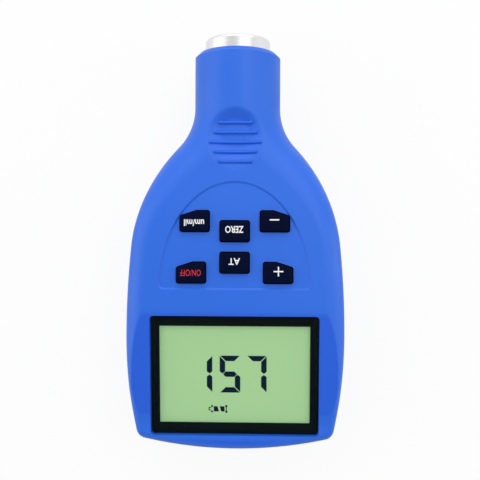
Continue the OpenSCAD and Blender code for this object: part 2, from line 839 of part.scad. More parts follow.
module board_screws() {
  color([0.5, 0.5, 0.52]) at_both(board_screw_at)
    translate([0, 0, board_top + board_head_t]) mirror([0, 0, 1])
      screw(board_screw_d, board_screw_l, board_head_d, board_head_t);
}

front_shell();
rear_shell();
battery_door();
display_window();
window_mask();
lcd_panel();
lcd_frame();
backlight();
lcd_connector();
main_board();
main_chip();
buzzer();
probe_socket();
keypad_mat();
key_unit();
key_zero();
key_minus();
key_power();
key_test();
key_plus();
probe_guide();
probe_sleeve();
probe_insert();
probe_core();
probe_coil();
probe_tip();
probe_clip();
probe_spring();
battery_left();
battery_right();
battery_springs();
battery_contacts();
case_screws();
board_screws();
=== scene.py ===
"""The looks of the coating thickness gauge: visual meshes, materials, light and camera."""
import math

import bmesh
import bpy
import numpy as np
from mathutils import Matrix, Vector


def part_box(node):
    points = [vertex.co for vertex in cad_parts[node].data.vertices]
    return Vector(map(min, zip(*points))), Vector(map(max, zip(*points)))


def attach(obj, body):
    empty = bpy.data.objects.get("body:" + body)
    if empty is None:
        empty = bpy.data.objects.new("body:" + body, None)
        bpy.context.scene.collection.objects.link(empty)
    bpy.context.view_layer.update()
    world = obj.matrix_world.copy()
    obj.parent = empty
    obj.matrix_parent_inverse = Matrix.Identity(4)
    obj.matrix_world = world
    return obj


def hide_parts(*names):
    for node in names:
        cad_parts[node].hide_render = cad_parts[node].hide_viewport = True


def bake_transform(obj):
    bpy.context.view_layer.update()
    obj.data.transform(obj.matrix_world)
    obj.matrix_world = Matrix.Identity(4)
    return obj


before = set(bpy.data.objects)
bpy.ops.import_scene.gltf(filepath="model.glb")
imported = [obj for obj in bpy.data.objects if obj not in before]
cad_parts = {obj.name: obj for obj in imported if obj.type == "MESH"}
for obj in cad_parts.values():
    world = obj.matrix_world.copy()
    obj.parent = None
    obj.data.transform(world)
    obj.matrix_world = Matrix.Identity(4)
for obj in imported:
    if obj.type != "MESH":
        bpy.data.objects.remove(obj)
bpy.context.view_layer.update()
scene = bpy.context.scene
MM = 0.001
X, Y, Z = range(3)
QUARTER = math.pi / 2


def span(node, axis):
    """Lowest and highest coordinate of a CAD node along an axis, in mm."""
    return [round(corner[axis] / MM, 3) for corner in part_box(node)]


def midpoint(node, axis):
    """Middle of a CAD node along an axis, in mm."""
    return round(sum(span(node, axis)) / 2, 3)


def half_size(node, axis):
    """Half the size of a CAD node along an axis, in mm."""
    low, high = span(node, axis)
    return round((high - low) / 2, 3)


# Sizes in mm from the frame
END_Y, NECK_END_Y = span("front_shell", Y)
AXIS_Z, BODY_T = span("front_shell", Z)
HALF_W = half_size("front_shell", X)
WINDOW_HALF_W = half_size("display_window", X)
SLEEVE_Y, SLEEVE_END = span("probe_sleeve", Y)
SLEEVE_R = span("probe_sleeve", X)[1]
CLIP_Y = span("probe_clip", Y)
KEY_FOOT, KEY_TOP = span("key_zero", Z)

# The keys: the side on which the edge of each slants, if any, and their places
KEY_SIDES = {"key_unit": -1, "key_zero": 0, "key_minus": 1, "key_power": -1, "key_test": 0, "key_plus": 1}
KEYS = {name: (midpoint(name, X), midpoint(name, Y), side) for name, side in KEY_SIDES.items()}

# Other sizes in mm, and the tilt of the display facet
WALL, NECK_R, NECK_CHAMFER = 2.0, 13.0, 1.3
GUIDE_Y = NECK_END_Y - WALL
FACET_Y, FACET_TILT = -20.4, math.radians(5)
WINDOW_LOW, WINDOW_HIGH, WINDOW_R, WINDOW_GAP = -36.6, -1.4, 1.0, 0.15
POCKET_DEPTH, CLEAR_OF_FACET = 1.9, 20
FIELD_Y, FIELD_HALF_W, FIELD_H, FIELD_R = -14.0, 22.1, 31.4, 1.4
SCOOP_Y, SCOOP_HALF_W, SCOOP_HALF_L, SCOOP_DEPTH = 29.7, 9.2, 9.6, 2.1
RIB_PITCH, RIB_SHIFT, RIB_L, RIB_TAPER = 2.9, -0.8, 15.7, 2.72
RIB_HALF_W, RIB_H, RIB_SINK, RIB_END = 0.55, 0.95, 0.2, 0.5
FLANGE_Z, FLANGE_T, FLANGE_RIM, STEM_INSET = 24.7, 0.8, 1.0, 1.0
KEY_HALF_W, KEY_HALF_L = (half_size("key_zero", axis) - FLANGE_RIM for axis in (X, Y))
KEY_SLANT_W, KEY_SLANT_L, KEY_R, KEY_GAP = 4.9, 1.6, 0.8, 0.3
PRINT_T, PRINT_PROUD = 0.06, 0.04
ON_FACET = Matrix.Translation((0, FACET_Y, BODY_T)) @ Matrix.Rotation(FACET_TILT, 4, "X")

# Steps of a rounded corner and of a full turn
CORNER_STEPS, ROUND_STEPS = 6, 128


# Mesh helpers
def new_object(name, points, faces, matrix=Matrix.Identity(4)):
    """An object from points in mm, with the faces turned outwards."""
    mesh = bpy.data.meshes.new(name)
    mesh.from_pydata([tuple((matrix @ Vector(p)) * MM) for p in points], [], faces)
    bm = bmesh.new()
    bm.from_mesh(mesh)
    bmesh.ops.remove_doubles(bm, verts=bm.verts, dist=1e-7)
    bmesh.ops.recalc_face_normals(bm, faces=bm.faces)
    bm.to_mesh(mesh)
    bm.free()
    obj = bpy.data.objects.new(name, mesh)
    scene.collection.objects.link(obj)
    return obj


def shade(obj, degrees=30):
    """Smooth shading with sharp edges over the given angle."""
    obj.data.shade_smooth()
    obj.data.set_sharp_from_angle(angle=math.radians(degrees))
    return obj


def bake(obj):
    """Applies the modifiers of an object to its mesh."""
    bpy.context.view_layer.update()
    shown = obj.evaluated_get(bpy.context.evaluated_depsgraph_get())
    mesh = bpy.data.meshes.new_from_object(shown)
    obj.modifiers.clear()
    obj.data = mesh
    return obj


def combine(obj, operation, *others):
    """Cuts the other objects away from this one or joins them to it, and removes them."""
    for other in others:
        step = obj.modifiers.new("step", "BOOLEAN")
        step.operation, step.solver, step.object = operation, "EXACT", other
    bake(obj)
    for other in others:
        bpy.data.objects.remove(other)
    return obj


def bands(rings, n):
    """The quads between neighbouring rings of n points each."""
    return [
        (k * n + j, k * n + (j + 1) % n, (k + 1) * n + (j + 1) % n, (k + 1) * n + j)
        for k in range(rings - 1) for j in range(n)
    ]


def stack(name, rings, matrix=Matrix.Identity(4)):
    """A closed body from rings of points, all with the same count."""
    n = len(rings[0])
    last = (len(rings) - 1) * n
    faces = bands(len(rings), n) + [tuple(range(n)), tuple(range(last, last + n))]
    return new_object(name, [p for ring in rings for p in ring], faces, matrix)


def prism(name, outline, z0, z1, matrix=Matrix.Identity(4)):
    """A straight body over an outline, from height z0 to z1."""
    return stack(name, [[(x, y, z) for x, y in outline] for z in (z0, z1)], matrix)


def plates(name, shapes, z0, z1, matrix):
    """One object made of several flat plates."""
    points, faces = [], []
    for shape in shapes:
        n, first = len(shape), len(points)
        points += [(px, py, z) for z in (z0, z1) for px, py in shape]
        faces += [tuple(range(first, first + n)), tuple(range(first + n, first + 2 * n))]
        faces += [tuple(first + i for i in quad) for quad in bands(2, n)]
    return new_object(name, points, faces, matrix)


def turned(name, profile):
    """A solid of revolution on the probe axis from a closed profile of (radius, y)."""
    turns = [2 * math.pi * j / ROUND_STEPS for j in range(ROUND_STEPS)]
    points = [(r * math.sin(a), y, AXIS_Z + r * math.cos(a)) for a in turns for r, y in profile]
    faces = [tuple(i % len(points) for i in quad) for quad in bands(ROUND_STEPS + 1, len(profile))]
    return new_object(name, points, faces)


def arc_points(x, y, r, start, turn, steps):
    """Points of an arc round (x, y), from the angle start over the angle turn, in radians."""
    angles = [start + turn * k / steps for k in range(steps + 1)]
    return [(x + r * math.cos(a), y + r * math.sin(a)) for a in angles]


def rectangle(x0, y0, x1, y1, r=0.0):
    """Outline of a rectangle, counter-clockwise, with rounded corners where r is given."""
    if r == 0:
        return [(x0, y0), (x1, y0), (x1, y1), (x0, y1)]
    centres = [(x1 - r, y0 + r), (x1 - r, y1 - r), (x0 + r, y1 - r), (x0 + r, y0 + r)]
    return [
        point for k, (x, y) in enumerate(centres)
        for point in arc_points(x, y, r, (k - 1) * QUARTER, QUARTER, CORNER_STEPS)
    ]


def rounded(corners, r):
    """A convex outline, counter-clockwise, with its corners rounded."""
    out = []
    for i, corner in enumerate(corners):
        p, a, b = Vector(corner), Vector(corners[i - 1]), Vector(corners[(i + 1) % len(corners)])
        u, v = (a - p).normalized(), (b - p).normalized()
        half = u.angle(v) / 2
        centre = p + (u + v).normalized() * (r / math.sin(half))
        start = math.atan2(*(p + u * (r / math.tan(half)) - centre).yx)
        out += arc_points(centre.x, centre.y, r, start, math.pi - 2 * half, CORNER_STEPS)
    return out


def inset(outline, d):
    """A convex outline, counter-clockwise, moved inwards by d. Sharp corners move by 2 d at most."""
    most = 2
    pts = [Vector(p) for p in outline]
    out = []
    for i, p in enumerate(pts):
        e0, e1 = (p - pts[i - 1]).normalized(), (pts[(i + 1) % len(pts)] - p).normalized()
        n0, n1 = Vector((-e0.y, e0.x)), Vector((-e1.y, e1.x))
        m = (n0 + n1).normalized()
        out.append(tuple(p + m * (d / max(1 / most, m.dot(n0)))))
    return out


def height_at(obj, x, y):
    """Height of the top of an object at a place, found from above it, in mm."""
    above = 40
    return obj.ray_cast(Vector((x, y, above)) * MM, Vector((0, 0, -1)))[1].z / MM


def piece(obj, body, slot, material, *nodes):
    """Puts an object on its body, gives it a finish and lets it stand for CAD nodes."""
    obj.data.materials.clear()
    obj.data.materials.append(material)
    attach(obj, body)
    if nodes:
        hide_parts(*nodes)
    return obj


# Materials
def finish(name, colour, roughness, metallic=0.0, **inputs):
    """A Principled material. Colours are sRGB from 0 to 255."""
    material = bpy.data.materials.new(name)
    material.use_nodes = True
    shader = material.node_tree.nodes["Principled BSDF"]
    linear = [(c / 255 / 12.92) if c <= 10 else ((c / 255 + 0.055) / 1.055) ** 2.4 for c in colour]
    shader.inputs["Base Color"].default_value = (*linear, 1)
    shader.inputs["Roughness"].default_value = roughness
    shader.inputs["Metallic"].default_value = metallic
    for key, value in inputs.items():
        shader.inputs[key.replace("_", " ")].default_value = value
    return material


def map_range(nodes, *ends):
    """A node that maps one range of values to another: from low, from high, to low and to high."""
    node = nodes.new("ShaderNodeMapRange")
    for socket, value in zip(("From Min", "From Max", "To Min", "To Max"), ends):
        node.inputs[socket].default_value = value
    return node


def noise(material, scale, detail, stretch=(1, 1, 1)):
    """A noise texture in object space. The scale is the size of its grains in mm."""
    nodes, links = material.node_tree.nodes, material.node_tree.links
    place = nodes.new("ShaderNodeTexCoord")
    mapping = nodes.new("ShaderNodeMapping")
    mapping.inputs["Scale"].default_value = stretch
    texture = nodes.new("ShaderNodeTexNoise")
    texture.inputs["Scale"].default_value = 1 / (scale * MM)
    texture.inputs["Detail"].default_value = detail
    links.new(place.outputs["Object"], mapping.inputs["Vector"])
    links.new(mapping.outputs["Vector"], texture.inputs["Vector"])
    return texture.outputs["Fac"]


def grain(material, scale, height, detail=2.0, stretch=(1, 1, 1)):
    """A fine bump on the surface, with its height in mm."""
    nodes, links = material.node_tree.nodes, material.node_tree.links
    bump = nodes.new("ShaderNodeBump")
    bump.inputs["Distance"].default_value = height * MM
    links.new(noise(material, scale, detail, stretch), bump.inputs["Height"])
    links.new(bump.outputs["Normal"], nodes["Principled BSDF"].inputs["Normal"])
    return material


def vary(material, scale, low, high):
    """Lets the roughness wander between low and high over the surface."""
    usual_low, usual_high, detail = 0.3, 0.7, 4.0
    nodes, links = material.node_tree.nodes, material.node_tree.links
    patches = map_range(nodes, usual_low, usual_high, low, high)
    links.new(noise(material, scale, detail), patches.inputs["Value"])
    links.new(patches.outputs["Result"], nodes["Principled BSDF"].inputs["Roughness"])
    return material


def paint_facet_shade(material, shade_shares):
    """Paints shade on the plane of the display facet, making it darker than the rest by shares of red, green
    and blue.
    The painted shade starts at one depth below the plane and is full at another, in mm."""
    starts, full = 0.04, 0.003
    slope = math.tan(FACET_TILT)
    level = BODY_T - FACET_Y * slope
    nodes, links = material.node_tree.nodes, material.node_tree.links
    base = nodes["Principled BSDF"].inputs["Base Color"]
    place = nodes.new("ShaderNodeTexCoord")
    height = nodes.new("ShaderNodeVectorMath")
    height.operation = "DOT_PRODUCT"
    height.inputs[1].default_value = (0, -slope, 1)
    # Mask of the painted shade: how near a point lies to the facet's plane
    near = map_range(nodes, (level - starts) * MM, (level - full) * MM)
    # Inputs 6 and 7 of a Mix node are its two colours, and output 2 is the mixed one
    painted_shade_mix = nodes.new("ShaderNodeMix")
    painted_shade_mix.data_type = "RGBA"
    painted_shade_mix.inputs[6].default_value = base.default_value
    painted_shade_mix.inputs[7].default_value = [c * s for c, s in zip(base.default_value, shade_shares)] + [1]
    links.new(place.outputs["Object"], height.inputs[0])
    links.new(height.outputs["Value"], near.inputs["Value"])
    links.new(near.outputs["Result"], painted_shade_mix.inputs[0])
    links.new(painted_shade_mix.outputs[2], base)
    return material


def case_finish(name):
    """Moulded blue plastic with a fine grain and slightly uneven gloss."""
    plain = finish(name, (35, 107, 228), 0.45, Specular_IOR_Level=0.45)
    return vary(grain(plain, 0.35, 0.008), 9, 0.42, 0.49)


BLUE = case_finish("case_blue")
# The front shell's blue, with painted shade on the display facet, standing for the light that the tilted
# facet gets less of
FACE_BLUE_PAINTED_SHADE = paint_facet_shade(case_finish("face_blue_painted_shade"), (0.62, 0.76, 0.95))
MATT_KEY, MATT_MASK, MATT_BAR = ({"Specular_IOR_Level": level} for level in (0.03, 0.1, 0.05))
# A little glow in the LCD, as from its backlight; it is also painted light that evens out the shade inside
# the window pocket
BACKLIGHT_AND_PAINTED_GLOW = {"Emission_Color": (0.37, 0.63, 0.3, 1), "Emission_Strength": 0.4}
NAVY = vary(grain(finish("key_navy", (5, 13, 42), 0.6, **MATT_KEY), 0.25, 0.008), 3, 0.48, 0.6)
BLACK = vary(grain(finish("mask_black", (3, 16, 19), 0.35, **MATT_MASK), 0.1, 0.002), 4, 0.3, 0.42)
GREEN = vary(grain(finish("lcd_green", (150, 190, 136), 0.5, **BACKLIGHT_AND_PAINTED_GLOW), 0.2, 0.002), 6, 0.45, 0.55)
SEGMENT = vary(finish("lcd_segment", (8, 32, 52), 0.5, **MATT_BAR), 2, 0.45, 0.55)
WHITE = vary(grain(finish("print_white", (249, 250, 252), 0.5), 0.15, 0.004), 1, 0.42, 0.6)
RED = vary(grain(finish("print_red", (215, 40, 52), 0.5), 0.15, 0.004), 1, 0.42, 0.6)
CLEAR = vary(finish("window_clear", (30, 40, 40), 0.03, Alpha=0.05), 12, 0.02, 0.06)
CHROME = vary(finish("plated_metal", (226, 226, 228), 0.34, 1.0), 4, 0.3, 0.36)
STEEL = vary(grain(finish("steel", (176, 178, 182), 0.3, 1.0), 0.3, 0.004), 2, 0.22, 0.4)
IRON = vary(finish("core_iron", (110, 112, 116), 0.4, 1.0), 2, 0.3, 0.5)
COPPER = grain(finish("coil_wire", (190, 104, 56), 0.35, 1.0), 0.2, 0.03, 1.0, (1, 6, 1))
RUBBER = grain(finish("rubber", (40, 41, 46), 0.7), 0.3, 0.02)
PLASTIC = vary(grain(finish("black_plastic", (26, 27, 29), 0.5), 0.3, 0.015), 4, 0.42, 0.58)
BOARD = vary(grain(finish("board_green", (18, 92, 52), 0.4), 1.2, 0.02), 3, 0.3, 0.5)
IVORY = grain(finish("socket_ivory", (226, 218, 196), 0.5), 0.3, 0.01)
GUIDE = vary(grain(finish("light_guide", (238, 240, 238), 0.3), 0.5, 0.01), 3, 0.25, 0.4)
STRIP = grain(finish("strip_rubber", (196, 158, 180), 0.6), 0.3, 0.02)
WRAP = vary(grain(finish("cell_wrap", (46, 48, 54), 0.3), 0.6, 0.01), 5, 0.22, 0.4)


# The outline of the moulded case: arcs that run into each other, as in the CAD source
def arc(centre, r, start, stop, steps, first=1):
    """Points of an arc as x, y and angle, without the start unless first is 0."""
    t = np.linspace(start, stop, steps + 1)[first:]
    return np.stack([centre[0] + r * np.cos(t), centre[1] + r * np.sin(t), t], 1)


def smooth(value, start, stop):
    """Goes from 0 at start to 1 at stop, with soft ends."""
    t = np.clip((value - start) / (stop - start), 0, 1)
    return t * t * (3 - 2 * t)


def towards(angle):
    """Unit vector in the direction of an angle."""
    return np.array([math.cos(angle), math.sin(angle)])


WIDEST_Y = END_Y + 33.8
END_R, CORNER_R, LOWER_R, UPPER_R, SHOULDER_R, FLARE_R = 124.0, 3.2, 138.0, 256.0, 52.0, 18.2
TURN = math.radians(5.9)
END_C = np.array([0, END_Y + END_R])
LOWER_C, UPPER_C = np.array([HALF_W - LOWER_R, WIDEST_Y]), np.array([HALF_W - UPPER_R, WIDEST_Y])
SHOULDER_C = UPPER_C + (UPPER_R - SHOULDER_R) * towards(TURN)
SHOULDER_STOP = math.acos((NECK_R + FLARE_R - SHOULDER_C[0]) / (SHOULDER_R + FLARE_R))
SHOULDER_Y = UPPER_C[1] + UPPER_R * math.sin(TURN)
FLARE_C = SHOULDER_C + (SHOULDER_R + FLARE_R) * towards(SHOULDER_STOP)

# Its face: the width and height of the rounded edge on the body, the edge at the display end,
# the flat left on the neck, and the spare height at the display end, which the facet takes off
FACE_EDGE, END_EDGE, NECK_FLAT, END_SPARE = (5.9, 4.8), 2.4, 0.4, 0.3
FACE_H = BODY_T - AXIS_Z
END_FADE = (END_Y + 6, END_Y + 20)
END_DROP = (FACET_Y - END_Y) * math.tan(FACET_TILT) - END_SPARE


def corner_centre():
    """Centre of the corner arc, which touches the end arc and the lower side arc."""
    ra, rb = LOWER_R - CORNER_R, END_R - CORNER_R
    d = np.linalg.norm(END_C - LOWER_C)
    along = (d * d + ra * ra - rb * rb) / (2 * d)
    u = (END_C - LOWER_C) / d
    return LOWER_C + along * u + math.sqrt(ra * ra - along * along) * np.array([u[1], -u[0]])


def case_path(stop_y, fine):
    """Right half of the case outline as x, y and the direction of the normal."""
    corner = corner_centre()
    end_stop = math.atan2(*(corner - END_C)[::-1])
    lower_start = math.atan2(*(corner - LOWER_C)[::-1])
    return np.concatenate([
        arc(END_C, END_R, -QUARTER, end_stop, 10 * fine, 0),
        arc(corner, CORNER_R, end_stop, lower_start, 6 * fine),
        arc(LOWER_C, LOWER_R, lower_start, 0, 10 * fine),
        arc(UPPER_C, UPPER_R, 0, TURN, 8 * fine),
        arc(SHOULDER_C, SHOULDER_R, TURN, SHOULDER_STOP, 14 * fine),
        arc(FLARE_C, -FLARE_R, SHOULDER_STOP, 0, 12 * fine),
        [[NECK_R, y, 0] for y in np.linspace(FLARE_C[1], stop_y, 4 * fine + 1)[1:]],
    ])


def half_case(name, d0, stop_y, fine, steps, base=0.0, columns=2, form=None):
    """Closed front half of the case, drawn in by d0, from the height base over the parting plane.
    The rounded edge has steps, the face has columns, and form changes the heights of the points."""
    path = case_path(stop_y, fine)
    x, y, a = path.T
    neck, end = smooth(y, SHOULDER_Y, FLARE_C[1]), 1 - smooth(y, *END_FADE)
    edge_w, edge_h = (
        body + (NECK_R - NECK_FLAT - body) * neck + (END_EDGE - body) * end for body in FACE_EDGE
    )
    top = FACE_H + (NECK_R - FACE_H) * neck - END_DROP * end
    levels = [(np.full_like(y, d0), np.full_like(y, base))]
    for turn in np.linspace(0, QUARTER, steps + 1):
        inwards = d0 + (edge_w - d0) * (1 - math.cos(turn))
        levels.append((inwards, top - edge_h + (edge_h - d0) * math.sin(turn)))
    rings = []
    for d, z in levels:
        right = np.stack([x - d * np.cos(a), y - d * np.sin(a), AXIS_Z + z], 1)
        rings.append(np.concatenate([right, right[:0:-1] * [-1, 1, 1]]))
    n, last = len(rings[0]), len(path) - 1
    points, faces = np.concatenate(rings), bands(len(rings), n)
    # The underside and the face are closed by rows of quads from side to side
    for first, parts in ((0, 1), ((len(rings) - 1) * n, columns)):
        rows = [[first] * (parts + 1)]
        for i in range(1, last + 1):
            right, left = first + i, first + n - i
            inner = [points[right] + (points[left] - points[right]) * j / parts for j in range(1, parts)]
            rows.append([right, *range(len(points), len(points) + len(inner)), left])
            points = np.concatenate([points, np.array(inner).reshape(-1, 3)])
        faces += [(rows[0][0], rows[1][j], rows[1][j + 1]) for j in range(parts)]
        faces += [(u[j], v[j], v[j + 1], u[j + 1]) for u, v in zip(rows[1:], rows[2:]) for j in range(parts)]
    if form:
        points[:, 2] = form(*points.T)
    return new_object(name, points.tolist(), faces)


def face_form(x, y, z):
    """Heights of the front shell with the soft-edged display facet and the thumb scoop.
    The floor of the scoop takes a share of its radius, a larger one towards the probe."""
    soft, floor_share, floor_lean, wall_h = 0.15, 0.36, 0.24, 6
    plane = BODY_T + (y - FACET_Y) * math.tan(FACET_TILT)
    share = np.clip(0.5 + 0.5 * (plane - z) / soft, 0, 1)
    z = plane * (1 - share) + z * share - soft * share * (1 - share)
    away = np.hypot(x / SCOOP_HALF_W, (y - SCOOP_Y) / SCOOP_HALF_L)
    floor_end = floor_share + floor_lean * (y - SCOOP_Y) / SCOOP_HALF_L / np.maximum(away, 0.01)
    dish = SCOOP_DEPTH * (1 - smooth(away, floor_end, 1))
    return np.where(z > AXIS_Z + wall_h, z - dish, z)


def ribs(shell):
    """Rounded ribs that stand on the floor of the scoop. Their ends are rounded off to a small rest."""
    along, around, rest = 49, 16, 0.02
    out = []
    for k in range(-2, 3):
        y, half = SCOOP_Y + k * RIB_PITCH + RIB_SHIFT, (RIB_L - RIB_TAPER * abs(k)) / 2
        rings = []
        for x in np.linspace(-half, half, along):
            foot = height_at(shell, x, y) - RIB_SINK
            end = math.sqrt(max(rest, 1 - max(0, (abs(x) - half + RIB_END) / RIB_END) ** 2))
            rings.append([
                (x, y + RIB_HALF_W * end * math.cos(a), foot + RIB_H * end * math.sin(a))
                for a in np.linspace(0, 2 * math.pi, around, endpoint=False)
            ])
        out.append(stack("rib", rings))
    return out


def key_outline(side, grow):
    """Outline of a key. Its edge towards the probe slants where side is -1 or 1."""
    x, y = KEY_HALF_W + grow, KEY_HALF_L + grow
    corners = [(-x, -y), (x, -y), (x, y), (-x, y)]
    if side:
        corners = [(-x, -y), (x, -y), (x, y - KEY_SLANT_L), (x - KEY_SLANT_W, y), (-x, y)]
    outline = rounded(corners, KEY_R)
    return outline if side >= 0 else [(-px, py) for px, py in outline[::-1]]


def neck_chamfer():
    """Cutter for the slanted edge at the end of the neck."""
    c = NECK_CHAMFER
    return turned("chamfer", [(NECK_R - 2 * c, NECK_END_Y + c), (NECK_R + c, NECK_END_Y - 2 * c),
                              (NECK_R + 3 * c, NECK_END_Y + c)])


def neck_bore():
    """Cutter for the room of the probe's guide and for the opening of the sleeve."""
    near_axis, room_r, opening_r, room_y, out_y = 0.001, 11.2, 10.2, 37.7, NECK_END_Y + 1
    return turned("bore", [(near_axis, room_y), (room_r, room_y), (room_r, GUIDE_Y),
                           (opening_r, GUIDE_Y), (opening_r, out_y), (near_axis, out_y)])


def window_hole():
    """Cutter for the pocket of the display window, with a gap all round."""
    half, low, high = WINDOW_HALF_W + WINDOW_GAP, WINDOW_LOW - WINDOW_GAP, WINDOW_HIGH + WINDOW_GAP
    outline = rectangle(-half, low, half, high, WINDOW_R + WINDOW_GAP)
    return prism("hole", outline, -POCKET_DEPTH, CLEAR_OF_FACET, ON_FACET)


def field_cutter(shell):
    """Cutter for the sunk keypad field, which follows the face of the shell.
    Its sloping edge is given as steps inwards and heights over the face."""
    slope = ((0.5, -0.4), (-0.16, 0.08), (-0.16, 5))
    r, start = FIELD_R, math.asin(FIELD_R / FIELD_H)
    angles = np.linspace(start, QUARTER, 61)
    side = [(FIELD_HALF_W * math.cos(a), FIELD_H * math.sin(a)) for a in angles]
    right = arc_points(side[0][0] - r, r, r, -QUARTER, QUARTER, 8)[:-1] + side
    outline = [(x, FIELD_Y + y) for x, y in right + [(-x, y) for x, y in right[-2::-1]]]
    points = [
        (x, y, height_at(shell, 0, y) + rise)
        for inwards, rise in slope for x, y in inset(outline, inwards)
    ]
    n = len(outline)
    faces = bands(len(slope), n)
    for first in (0, (len(slope) - 1) * n):
        faces += [(first + j, first + j + 1, first + n - 2 - j, first + n - 1 - j) for j in range(n // 2 - 1)]
        faces.append((first + n // 2 - 1, first + n // 2, first + n // 2 + 1))
    return new_object("field", points, faces)


def front_shell():
    """The front half of the case with its ribs, hollow, and open for the window, the keys and the probe."""
    shell = half_case("case_front", 0, NECK_END_Y, fine=4, steps=36, columns=48, form=face_form)
    combine(shell, "UNION", *ribs(shell))
    cavity = half_case("cavity", WALL, GUIDE_Y, fine=2, steps=8, base=-1.0)
    # The wall is thicker under the display facet and under the scoop
    facet_wall, scoop_wall_z, bed_top, reach, corner_r = 2.6, 21.9, 30, 11, 9
    display_bed = rectangle(-40, -60, 40, 1)
    scoop_bed = rectangle(-reach, SCOOP_Y - reach, reach, SCOOP_Y + reach, corner_r)
    combine(cavity, "DIFFERENCE",
            prism("display_bed", display_bed, -facet_wall, CLEAR_OF_FACET, ON_FACET),
            prism("scoop_bed", scoop_bed, scoop_wall_z, bed_top))
    aperture, aperture_low, aperture_high = rectangle(-22.5, -33.8, 22.5, -4.0), -4, 1
    key_hole_low, key_hole_high = 20, 32
    cutters = [
        window_hole(), prism("aperture", aperture, aperture_low, aperture_high, ON_FACET),
        field_cutter(shell), neck_bore(), neck_chamfer(),
    ]
    for x, y, side in KEYS.values():
        hole = [(x + px, y + py) for px, py in key_outline(side, KEY_GAP)]
        cutters.append(prism("key_hole", hole, key_hole_low, key_hole_high))
    combine(shell, "DIFFERENCE", cavity, *cutters)
    shade(shell, 24)
    shell.modifiers.new("flat_faces", "WEIGHTED_NORMAL").keep_sharp = True
    return piece(bake(shell), "body", "case_plastic", FACE_BLUE_PAINTED_SHADE, "front_shell")


# Keys and their legends
def key_piece(name):
    """A key cap with a soft edge and a slightly crowned top, its flange and its stem."""
    x, y, side = KEYS[name]
    bevel, crown, top = 0.55, 0.1, KEY_TOP - PRINT_PROUD
    outline = key_outline(side, 0)
    rings = [[(px, py, FLANGE_Z) for px, py in outline]]
    for t in np.linspace(0, QUARTER, 9):
        z = top - crown - bevel * (1 - math.sin(t))
        rings.append([(px, py, z) for px, py in inset(outline, bevel * (1 - math.cos(t)))])
    for s in np.linspace(0.9, 0.1, 9):
        rings.append([(px * s, py * s, top - crown * s ** 4) for px, py in inset(outline, bevel)])
    place = Matrix.Translation((x, y, 0))
    cap = stack(name + "_cap", rings, place)
    flange = prism("flange", key_outline(side, FLANGE_RIM), FLANGE_Z - FLANGE_T, FLANGE_Z, place)
    stem = prism("stem", key_outline(side, -STEM_INSET), KEY_FOOT, FLANGE_Z - FLANGE_T, place)
    combine(cap, "UNION", flange, stem)
    shade(cap, 35)
    return piece(cap, name, "key_rubber", NAVY, name)


def print_on(key, shapes, material):
    """Flat print on a key from outlines in mm around its middle."""
    x, y, _ = KEYS[key]
    sign = plates(key + "_print", shapes, KEY_TOP - PRINT_T, KEY_TOP, Matrix.Translation((x, y, 0)))
    return piece(sign, key, "key_rubber", material)


def legend(key, text, size, material, bold=0.0, up=0.0):
    """Generic legend of a given width and height in mm, to be read with the probe pointing down."""
    x, y, _ = KEYS[key]
    curve = bpy.data.curves.new(key + "_legend", "FONT")
    curve.body, curve.offset, curve.extrude, curve.resolution_u = text, bold, 0.01, 3
    source = bpy.data.objects.new("source", curve)
    scene.collection.objects.link(source)
    bpy.context.view_layer.update()
    mesh = bpy.data.meshes.new_from_object(source.evaluated_get(bpy.context.evaluated_depsgraph_get()))
    bpy.data.objects.remove(source)
    corners = np.array([v.co for v in mesh.vertices])
    lo, hi = Vector(corners.min(0)), Vector(corners.max(0))
    wanted, drawn = Vector((*size, PRINT_T)) * MM, hi - lo
    scale = Matrix.Diagonal((wanted.x / drawn.x, wanted.y / drawn.y, wanted.z / drawn.z, 1))
    place = Matrix.Translation(Vector((x, y + up, KEY_TOP - PRINT_T / 2)) * MM)
    mesh.transform(place @ Matrix.Rotation(math.pi, 4, "Z") @ scale @ Matrix.Translation(-(lo + hi) / 2))
    obj = bpy.data.objects.new(key + "_print", mesh)
    scene.collection.objects.link(obj)
    return piece(obj, key, "key_rubber", material)


# The display
def segments(lit, w, h, t, gap):
    """Outlines of the lit bars of a seven-bar digit, with its width and height and the bars' thickness."""
    m = h / 2
    bars = {
        "a": [(gap, h), (t + gap, h - t), (w - t - gap, h - t), (w - gap, h)],
        "b": [(w, h - gap), (w - t, h - t - gap), (w - t, m + t / 2), (w - t / 2, m + gap), (w, m + t / 2)],
        "g": [(t / 2 + gap, m), (t + gap, m - t / 2), (w - t - gap, m - t / 2), (w - t / 2 - gap, m),
              (w - t - gap, m + t / 2), (t + gap, m + t / 2)],
    }
    bars["c"] = [(px, h - py) for px, py in bars["b"]][::-1]
    bars["d"] = [(px, h - py) for px, py in bars["a"]][::-1]
    bars["f"] = [(w - px, py) for px, py in bars["b"]][::-1]
    bars["e"] = [(w - px, py) for px, py in bars["c"]][::-1]
    return [bars[name] for name in lit]


